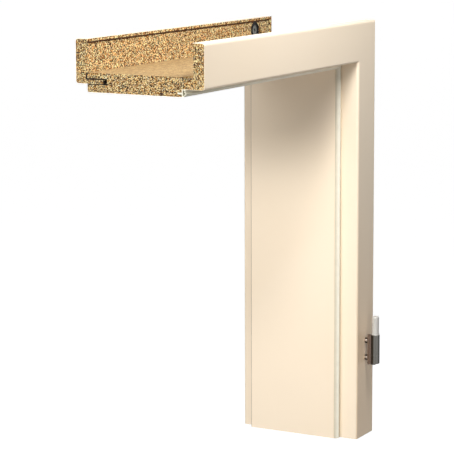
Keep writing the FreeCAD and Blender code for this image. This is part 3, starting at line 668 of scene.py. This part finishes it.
def on_end(of_head, points):
    """Puts (depth, height, out) on the sawn end of the head or the jamb."""
    depth, height, out = points.T
    if of_head:
        return np.stack((SAWN_HEAD - out, FRONT_FACE + depth, REVEAL_OF_HEAD + height), axis=1)
    return np.stack((REVEAL_OF_JAMB + height, FRONT_FACE + depth, SAWN_JAMB - out), axis=1)


def on_raw_side(of_head, face, points):
    """Puts (along, height, out) on a raw side, along being counted from the reveal's corner."""
    along, height, out = points.T
    y = FRONT_FACE + RAW_DEPTHS[face] + (out if face == FRONT else -out)
    if of_head:
        return np.stack((REVEAL_OF_JAMB + along, y, REVEAL_OF_HEAD + height), axis=1)
    return np.stack((REVEAL_OF_JAMB + height, y, REVEAL_OF_HEAD + along), axis=1)


print("sawn end:", len(FRAME_SECTION) + len(REAR_SECTION), "rectangles")

# %% [markdown]
# ## Keeping flakes off the fitting and the hinge
# The nearest point of a line is found by projecting onto it and stopping at its ends, for all flakes at once.
# Where the hinge's receiver stands on the raw side, the jamb's rectangle is split in two.

# %% Clear of the fitting
POCKET_MARGIN = 2 * BESIDE_EDGE


def cup_middle(part):
    """Where a cup of the corner fitting stands, as (across, up) from the reveal's corner."""
    middle = (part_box(part)[0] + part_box(part)[1]) / 2
    return np.array((middle.x - REVEAL_OF_JAMB, middle.z - REVEAL_OF_HEAD))


def clear_of_fitting(middles, face, of_head):
    """The middles that lie on this side of the mitre and outside the fitting's pocket."""
    cup = cup_middle(face + "_connector_housing")
    reach = cup_middle(face + "_connector_anchor") - cup
    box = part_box(face + "_connector_housing")
    pocket = (box[1].x - box[0].x) / 2 + POCKET_MARGIN
    places = middles if of_head else middles[:, ::-1]
    share = np.clip((places - cup) @ reach / (reach @ reach), 0.0, 1.0)
    distance = np.linalg.norm(places - cup - share[:, None] * reach, axis=1)
    return middles[(distance > pocket) & (middles[:, 0] < middles[:, 1] - POCKET_MARGIN)]


def raw_side_spans(face, of_head):
    """The raw side's rectangle, or two where the hinge's receiver stands on it."""
    low, high = LINING_THICKNESS, LIP_FOOT
    start = SAWN_HEAD - REVEAL_OF_JAMB if of_head else SAWN_JAMB - REVEAL_OF_HEAD
    if face == REAR or of_head:
        return [(start, high, low, high)]
    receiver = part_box("hinge_receiver")
    below, above = receiver[0].z - REVEAL_OF_HEAD, receiver[1].z - REVEAL_OF_HEAD
    return [(start, below, low, high), (above, high, low, high)]


print("pocket margin", POCKET_MARGIN / MM, "mm")

# %% [markdown]
# ## The flake pieces
# The flakes on the fixed boards and those on the sliding rear architraves ride on different bodies, and the
# two kinds of surface need different heights, so there are four pieces. One mesh holds all the flakes of a
# piece, because thousands of objects would be slow and could not be exported well.

# %% Flake pieces
SAWN_HEIGHT = (0.10 * MM, 0.32 * MM)
RAW_HEIGHT = (0.04 * MM, 0.12 * MM)
SAWN_SPREAD = 0.3
ANY_DIRECTION = math.pi
FLAKE_SHADES = (
    (0.0, (0.030, 0.014, 0.005)), (0.38, (0.07, 0.032, 0.012)), (0.44, (0.50, 0.300, 0.120)),
    (0.70, (0.62, 0.390, 0.170)), (0.76, (0.95, 0.750, 0.430)), (1.0, (1.0, 0.880, 0.620)),
)
SAWN_FLAKE = (0.53, 0.53, 0.54)
RAW_FLAKE = (1.0, 1.0, 1.0)
FLAKE_FIBRES_PER_METRE = 1500.0
FLAKE_SHEEN, FLAKE_ROUGHNESS, FLAKE_BUMP = 0.1, 0.85, (0.05 * MM, 0.5)


def flake_finish(name, tint):
    """Each flake in its own shade, with fine fibres."""
    finish = Finish(name, Specular_IOR_Level=FLAKE_SHEEN, Roughness=FLAKE_ROUGHNESS)
    shade = finish.node("Attribute", {"attribute_name": "shade"}, output="Fac")
    fibres = finish.noise(finish.place(), FLAKE_FIBRES_PER_METRE)
    finish.set(
        Base_Color=finish.tinted(finish.colours(shade, FLAKE_SHADES), tint),
        Normal=finish.bump(fibres, *FLAKE_BUMP),
    )
    return finish.material


def flake_piece(name, groups, body, tint):
    """One mesh of all the groups of flakes, each group being its points and triangles, riding on a body."""
    starts = np.cumsum([0] + [len(points) for points, _ in groups])
    points = np.concatenate([points for points, _ in groups])
    faces = np.concatenate([outward(*group) + start for group, start in zip(groups, starts)])
    mesh = bpy.data.meshes.new(name)
    mesh.from_pydata(points, [], faces)
    shades = np.repeat(random.random(len(points) // FLAKE_POINTS), FLAKE_POINTS)
    mesh.attributes.new("shade", "FLOAT", "POINT").data.foreach_set("value", shades)
    mesh.materials.append(flake_finish(name + "_finish", tint))
    piece = bpy.data.objects.new(name, mesh)
    bpy.context.scene.collection.objects.link(piece)
    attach(piece, body)
    print(name, len(faces), "triangles")


def end_flakes(section):
    """Flakes on both sawn ends; a sawn chip lies flat in its board, along the depth or along the height."""
    groups = []
    for of_head in (True, False):
        for span in section:
            upright = span[3] - span[2] > span[1] - span[0]
            heading = math.pi / 2 if upright else 0.0
            points, faces = flake_shapes(scattered_points([span]), SAWN_HEIGHT, heading, SAWN_SPREAD)
            groups.append((on_end(of_head, points), faces))
    return groups


def side_flakes(face):
    """Flakes on the raw sides of head and jamb, lying in any direction."""
    groups = []
    for of_head in (True, False):
        middles = clear_of_fitting(scattered_points(raw_side_spans(face, of_head)), face, of_head)
        points, faces = flake_shapes(middles, RAW_HEIGHT, 0.0, ANY_DIRECTION)
        groups.append((on_raw_side(of_head, face, points), faces))
    return groups


flake_piece("frame_end_chips", end_flakes(FRAME_SECTION), "frame", SAWN_FLAKE)
flake_piece("rear_end_chips", end_flakes(REAR_SECTION), "rear_architraves", SAWN_FLAKE)
flake_piece("front_side_chips", side_flakes(FRONT), "frame", RAW_FLAKE)
flake_piece("rear_side_chips", side_flakes(REAR), "rear_architraves", RAW_FLAKE)

# %% [markdown]
# ## Seal
# The seal is a soft grey-white rubber that blooms in faint clouds. The head's seal is painted darker towards
# its sawn end and lighter towards the corner, as painted light and shade for how much light reaches it, and
# the jamb's seal is darker where it meets the stop, because little light gets there: painted shade. Noise
# would put light and shade anywhere, so a slow ramp along the board gives the first, and a short one across
# the seal gives the shade.

# %% Seal finish
RUBBER = ((0.84, 0.80, 0.675), (0.89, 0.85, 0.72))
SHADED_END_RUBBER, LIT_CORNER_RUBBER = (0.68, 0.65, 0.52), (0.98, 0.91, 0.77)
SEAL_LIGHT_RAMP = (-0.48, -0.20)
SEAL_SHADE, SEAL_SHADE_REACH = (0.76, 0.70, 0.62), 6.0 * MM
BLOOM_PER_METRE, BLOOM_CONTRAST = 90.0, (0.3, 0.7)
RUBBER_GRAIN_PER_METRE = 2500.0
RUBBER_SHEEN, RUBBER_ROUGHNESS, RUBBER_BUMP = 0.35, (0.45, 0.65), (0.05 * MM, 0.3)


def seal_finish(side):
    """Grey-white rubber with painted light and shade: lighter towards the head's corner, darker by the jamb's
    stop.
    """
    finish = Finish(side + "_seal_finish", Specular_IOR_Level=RUBBER_SHEEN)
    place = finish.place()
    x, y, _ = finish.parts(place)
    bloom = finish.noise(place, BLOOM_PER_METRE, detail=4.0)
    if side == "head":
        # painted light and shade: darker towards the sawn end, lighter towards the corner
        colour = finish.mixed(x.ramp(*SEAL_LIGHT_RAMP), SHADED_END_RUBBER, LIT_CORNER_RUBBER)
    else:
        # painted shade where the jamb's seal meets the stop
        near_stop = (y - FRONT_FACE).ramp(STOP_DEPTH - SEAL_SHADE_REACH, STOP_DEPTH)
        colour = finish.tinted(finish.mixed(bloom.ramp(*BLOOM_CONTRAST), *RUBBER), SEAL_SHADE, near_stop)
    grain = finish.noise(place, RUBBER_GRAIN_PER_METRE, detail=1.0)
    finish.set(
        Base_Color=colour,
        Roughness=bloom.between(*RUBBER_ROUGHNESS),
        Normal=finish.bump(grain, *RUBBER_BUMP),
    )
    return finish.material


for side in ("head", "jamb"):
    dress(side + "_seal", seal_finish(side))
print("seals dressed")

# %% [markdown]
# ## Plastic, plated steel and beech
# The cups of the corner fitting are dark moulded plastic and the hinge's sleeve is pale, smooth plastic. Both
# come from a spark-eroded mould, which leaves a faint even texture. Screws, bolts, arms and the receiver are
# zinc-plated steel with a slightly cloudy gloss, and the dowels are beech. Each gets its own grain at its
# scale.

# %% Plastic, plated steel and beech
DARK_PLASTIC = ((0.006, 0.006, 0.006), (0.014, 0.014, 0.012))
PALE_PLASTIC = ((0.53, 0.51, 0.47), (0.58, 0.56, 0.52))
PLATING = ((0.62, 0.62, 0.58), (0.72, 0.71, 0.66))
BEECH = ((0.52, 0.33, 0.17), (0.66, 0.45, 0.26))
DARK_ROUGHNESS, DARK_SHEEN = (0.42, 0.58), 0.22
PALE_ROUGHNESS, PALE_SHEEN = (0.22, 0.38), 0.5
MOULD_GRAIN_PER_METRE, SMEARS_PER_METRE, MOULD_BUMP = 3000.0, 120.0, (0.03 * MM, 0.4)
PLATING_GRAIN_PER_METRE, CLOUDS_PER_METRE, CLOUD_CONTRAST = 1500.0, 160.0, (0.3, 0.7)
PLATED_ROUGHNESS, GRAIN_ROUGHENS, METAL_BUMP = (0.18, 0.34), 0.12, (0.04 * MM, 0.35)
BEECH_RAYS_PER_METRE, BEECH_ROUGHNESS, BEECH_BUMP = 900.0, 0.6, (0.08 * MM, 0.4)


def moulded_finish(name, colours, roughness, sheen):
    """Moulded plastic: a faint spark-eroded texture and slightly uneven gloss."""
    finish = Finish(name, Specular_IOR_Level=sheen)
    place = finish.place()
    grain = finish.noise(place, MOULD_GRAIN_PER_METRE, detail=1.0)
    smear = finish.noise(place, SMEARS_PER_METRE)
    finish.set(
        Base_Color=finish.mixed(smear, *colours),
        Roughness=smear.between(*roughness),
        Normal=finish.bump(grain, *MOULD_BUMP),
    )
    return finish.material


def plated_finish():
    """Zinc-plated steel with a fine grain."""
    finish = Finish("plated_finish", Metallic=1.0)
    place = finish.place()
    grain = finish.noise(place, PLATING_GRAIN_PER_METRE)
    cloud = finish.noise(place, CLOUDS_PER_METRE)
    finish.set(
        Base_Color=finish.mixed(cloud.ramp(*CLOUD_CONTRAST), *PLATING),
        Roughness=cloud.between(*PLATED_ROUGHNESS) + grain * GRAIN_ROUGHENS,
        Normal=finish.bump(grain, *METAL_BUMP),
    )
    return finish.material


def beech_finish():
    """Beech with its short rays."""
    finish = Finish("beech_finish", Roughness=BEECH_ROUGHNESS)
    rays = finish.noise(finish.place(), BEECH_RAYS_PER_METRE, detail=4.0)
    finish.set(Base_Color=finish.mixed(rays, *BEECH), Normal=finish.bump(rays, *BEECH_BUMP))
    return finish.material


dark_plastic = moulded_finish("dark_plastic_finish", DARK_PLASTIC, DARK_ROUGHNESS, DARK_SHEEN)
pale_plastic = moulded_finish("pale_plastic_finish", PALE_PLASTIC, PALE_ROUGHNESS, PALE_SHEEN)
plated = plated_finish()
beech = beech_finish()
for face in (FRONT, REAR):
    dress(face + "_connector_housing", dark_plastic)
    dress(face + "_connector_anchor", dark_plastic)
    dress(face + "_connector_bolt", plated)
dress("hinge_sleeve", pale_plastic)
for part in ("hinge_pin", "hinge_receiver", "hinge_arm_upper", "hinge_arm_lower", "clamp_screw_upper",
             "clamp_screw_lower", "receiver_screw_upper", "receiver_screw_lower"):
    dress(part, plated)
for part in nodes:
    if part.startswith("corner_dowel"):
        dress(part, beech)
print("plastic, steel and beech dressed")

# %% [markdown]
# ## Hinge barrel and collars
# The barrel is nickel-plated and was drawn through a die, which leaves fine lines along it. Its light and
# dark
# bands are painted reflections and shade: noise would put them at random places, so a ramp across the barrel,
# in the camera's sideways direction, puts them where the real ones are. It paints the web paler and warmer,
# as a reflection of the foil, with painted shade in a dark line along its fold and one where it meets the
# barrel.
# The collars have a painted highlight round their middle and painted shade above and below.

# %% Hinge finishes
SIDEWAYS_IN_VIEW = (0.461, -0.887)
WEB_REACH = 2.4
BAND_WANDER = 0.16
REFLECTIONS_AND_SHADE = (
    (0.0, (0.40, 0.31, 0.26)), (0.21, (0.38, 0.29, 0.24)), (0.27, (0.13, 0.095, 0.08)),
    (0.33, (0.34, 0.26, 0.22)), (0.40, (0.10, 0.08, 0.07)), (0.47, (0.045, 0.04, 0.03)),
    (0.60, (0.15, 0.145, 0.13)), (0.76, (0.11, 0.105, 0.095)), (0.83, (0.17, 0.165, 0.155)),
    (0.93, (0.045, 0.045, 0.04)),
)
DRAWN_LINES = (2600.0, 2600.0, 60.0)
BARREL_ROUGHNESS = (0.16, 0.32)
COLLAR_SHADE, COLLAR_HIGHLIGHT = (0.030, 0.020, 0.012), (0.57, 0.51, 0.46)
HIGHLIGHT_FROM, HIGHLIGHT_UNTIL = (0.30, 0.45), (0.72, 0.88)
SPECKLES_PER_METRE, SPECKLE_WANDER = 400.0, 0.2
COLLAR_ROUGHNESS, COLLAR_BUMP = (0.22, 0.42), (0.03 * MM, 0.4)


def barrel_finish():
    """Painted reflections and shade on nickel plate: a pale, warm web, a dark line at the barrel, and bands
    along it.

    The ramp runs across web and barrel, from the web's reach on the left to 1 at the barrel's right side,
    counted in radii of the barrel from its axis.
    """
    finish = Finish("barrel_finish", Metallic=1.0)
    place = finish.place()
    x, y, _ = finish.parts(place)
    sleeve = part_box("hinge_sleeve")
    axis = (sleeve[0] + sleeve[1]) / 2
    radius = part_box("hinge_barrel")[1].x - axis.x
    # the camera's sideways direction sets where the painted reflections and shade lie
    across = (x - axis.x) * (SIDEWAYS_IN_VIEW[0] / radius) + (y - axis.y) * (SIDEWAYS_IN_VIEW[1] / radius)
    drawn = finish.noise(finish.scaled(place, DRAWN_LINES), 1.0)
    cloud = finish.noise(place, CLOUDS_PER_METRE)
    from_web = across + (drawn - NOISE_MIDDLE) * BAND_WANDER + WEB_REACH
    finish.set(
        Base_Color=finish.colours(from_web / (WEB_REACH + 1), REFLECTIONS_AND_SHADE),
        Roughness=cloud.between(*BARREL_ROUGHNESS) + drawn * GRAIN_ROUGHENS,
        Normal=finish.bump(drawn, *METAL_BUMP),
    )
    return finish.material


def collar_finish(part):
    """Plated collar, with a painted highlight round its middle and painted shade above and below."""
    finish = Finish(part + "_finish", Metallic=1.0)
    place = finish.place()
    low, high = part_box(part)
    speckle = finish.noise(place, SPECKLES_PER_METRE, detail=2.0)
    up = (finish.parts(place)[2] - low.z) / (high.z - low.z) + (speckle - NOISE_MIDDLE) * SPECKLE_WANDER
    # painted highlight round the middle, painted shade above and below
    highlight = up.ramp(*HIGHLIGHT_FROM) * (1 - up.ramp(*HIGHLIGHT_UNTIL))
    finish.set(
        Base_Color=finish.mixed(highlight, COLLAR_SHADE, COLLAR_HIGHLIGHT),
        Roughness=speckle.between(*COLLAR_ROUGHNESS),
        Normal=finish.bump(speckle, *COLLAR_BUMP),
    )
    return finish.material


dress("hinge_barrel", barrel_finish())
for part in ("hinge_collar_upper", "hinge_collar_lower"):
    dress(part, collar_finish(part))
print("hinge dressed")

# %% [markdown]
# ## Cams
# Each cam is die-cast zinc with a cross slot. Whatever lies deeper than the cam's face is painted dark: the
# slot's shade, together with the dirt in it. The two cams face opposite ways, and one material serves both,
# by the nearer of the two faces.

# %% Cam finish
ZINC = ((0.10, 0.10, 0.085), (0.21, 0.21, 0.18))
SLOT_SHADE_AND_DIRT = (0.010, 0.010, 0.009)
SLOT_SHOWS = 0.6 * MM
CASTING_PER_METRE, CASTING_BUMP = 260.0, (0.05 * MM, 0.5)
CAM_ROUGHNESS, DIRT_ROUGHENS = (0.22, 0.42), 0.4


def cam_finish():
    """Die-cast zinc, with painted shade and dirt in the slot, which is all that lies deeper than the cam's
    face.
    """
    finish = Finish("cam_finish", Metallic=1.0)
    place = finish.place()
    cloud = finish.noise(place, CASTING_PER_METRE)
    y = finish.parts(place)[1]
    rear_face, front_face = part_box("rear_connector_cam")[0].y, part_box("front_connector_cam")[1].y
    from_rear = (y - rear_face).at_least(rear_face - y)
    from_front = (y - front_face).at_least(front_face - y)
    # painted shade and dirt in the slot
    slot = from_rear.at_most(from_front).above(SLOT_SHOWS)
    zinc = finish.mixed(cloud.ramp(*CLOUD_CONTRAST), *ZINC)
    finish.set(
        Base_Color=finish.mixed(slot, zinc, SLOT_SHADE_AND_DIRT),
        Roughness=cloud.between(*CAM_ROUGHNESS) + slot * DIRT_ROUGHENS,
        Normal=finish.bump(cloud, *CASTING_BUMP),
    )
    return finish.material


cams = cam_finish()
for face in (FRONT, REAR):
    dress(face + "_connector_cam", cams)
print("cams dressed")

# %% [markdown]
# ## Floor
# The sample is held by its wall side, so the floor lies some way below it. It is white to the camera, to
# reflections and through glass, and pale grey to the light on its way, so that it doesn't light the object
# from below. It glows less right below the object, so it keeps a soft shadow there and still runs into the
# white around it. A floor made bright by stronger lamps would burn out the object's own pale foil.

# %% Floor
FLOOR_DROP = 0.5
FLOOR_HALF = 60.0
FLOOR_GREY, FLOOR_ROUGHNESS, FLOOR_SHEEN = (0.60, 0.60, 0.60), 0.9, 0.1
NO_GLOW = (0.0, 0.0, 0.0)
GLOW_NEAR = (0.70, 0.70, 0.70)
GLOW_FAR = (0.955, 0.955, 0.955)
SHADOW_REACH = (0.8, 1.7)
SEEN_BY = ("Is Camera Ray", "Is Glossy Ray", "Is Transmission Ray")


def seen_directly(finish):
    """1 for what the camera sees itself, in a reflection or through glass, 0 for light on its way."""
    rays = [finish.node("LightPath", output=name) for name in SEEN_BY]
    return rays[0].at_least(rays[1]).at_least(rays[2])


level = solid_box[0].z - FLOOR_DROP
corners = np.array([(-1, -1, 0), (1, -1, 0), (1, 1, 0), (-1, 1, 0)]) * (FLOOR_HALF, FLOOR_HALF, 1.0)
floor_mesh = bpy.data.meshes.new("floor")
floor_mesh.from_pydata((corners + (0, 0, level)).tolist(), [], [(0, 1, 2, 3)])
floor = bpy.data.objects.new("floor", floor_mesh)
bpy.context.scene.collection.objects.link(floor)

floor_finish = Finish("floor_finish", Base_Color=FLOOR_GREY, Roughness=FLOOR_ROUGHNESS,
                      Specular_IOR_Level=FLOOR_SHEEN)
east, north, _ = floor_finish.parts(floor_finish.place())
away = (east * east + north * north).root().ramp(*SHADOW_REACH)
glow = floor_finish.mixed(away, GLOW_NEAR, GLOW_FAR)
glow = floor_finish.mixed(seen_directly(floor_finish), NO_GLOW, glow)
floor_finish.set(Emission_Color=glow, Emission_Strength=1.0)
floor_mesh.materials.append(floor_finish.material)
print("floor at", round(level, 3))

# %% [markdown]
# ## World
# The world is white in the same three cases as the floor, and otherwise nearly dark. A world that lit the
# object as brightly as it looks would wash out every shadow. A chain of Maximum nodes lifts its strength to 1
# for each of the three kinds of ray.

# %% World
WORLD_LEVEL = 0.02
WORLD_COLOUR = (1.0, 1.0, 1.0, 1.0)

world = bpy.data.worlds.new("world")
bpy.context.scene.world = world
world.use_nodes = True
tree = world.node_tree
background = tree.nodes["Background"]
background.inputs["Color"].default_value = WORLD_COLOUR
paths = tree.nodes.new("ShaderNodeLightPath")
strength = background.inputs["Strength"]
for name in SEEN_BY:
    larger = tree.nodes.new("ShaderNodeMath")
    larger.operation = "MAXIMUM"
    larger.inputs[1].default_value = WORLD_LEVEL
    tree.links.new(larger.outputs[0], strength)
    tree.links.new(paths.outputs[name], larger.inputs[0])
    strength = larger.inputs[1]
print("world level", WORLD_LEVEL)

# %% [markdown]
# ## Lamps
# One large lamp would light one side well, but the real light comes from several sides. Three small round
# lamps high on the left let the head throw a shadow with a firm edge on the reveal. Wide ones beside, behind
# and low in front fill what they leave dark, and two small ones close to the head make its face bright and
# let it fade towards the jamb's foot.

# %% Lamps
# Each lamp: its place, where it points, how wide it is and its power in watts.
LAMPS = {
    "left": ((-1.85, -0.30, 0.85), (-0.05, 0.0, 0.05), 0.25, 5.7),
    "mid_left": ((-1.85, -0.20, 0.70), (-0.05, 0.0, 0.05), 0.25, 10.6),
    "high_left": ((-1.60, -0.40, 1.30), (-0.05, 0.0, 0.05), 0.25, 9.9),
    "beside": ((-1.80, 0.30, 1.00), (0.0, 0.0, 0.10), 0.90, 2.5),
    "left_behind": ((-1.70, 0.60, 1.00), (-0.10, 0.0, 0.10), 0.90, 7.1),
    "low_behind": ((-1.80, 0.50, 0.50), (0.0, 0.0, 0.10), 0.90, 4.9),
    "low_front": ((-1.20, -1.50, -0.10), (-0.10, 0.0, 0.10), 0.90, 3.2),
    "front_near": ((-0.25, -0.50, 0.95), (-0.20, -0.10, 0.30), 0.40, 5.0),
    "front_left": ((-0.35, -0.45, 0.80), (-0.30, -0.10, 0.33), 0.30, 1.0),
    "right_behind": ((1.30, 1.10, 0.90), (0.0, 0.0, 0.05), 1.20, 4.0),
}


def round_lamp(name, place, aim, size, power):
    """A round lamp that points at a place."""
    data = bpy.data.lights.new(name, "AREA")
    data.shape = "DISK"
    data.size = size
    data.energy = power
    lamp = bpy.data.objects.new(name, data)
    bpy.context.scene.collection.objects.link(lamp)
    lamp.location = place
    lamp.rotation_euler = (Vector(aim) - lamp.location).to_track_quat("-Z", "Y").to_euler()


for name, lamp in LAMPS.items():
    round_lamp(name, *lamp)
bpy.context.scene.view_settings.view_transform = "Standard"
print(len(LAMPS), "lamps")
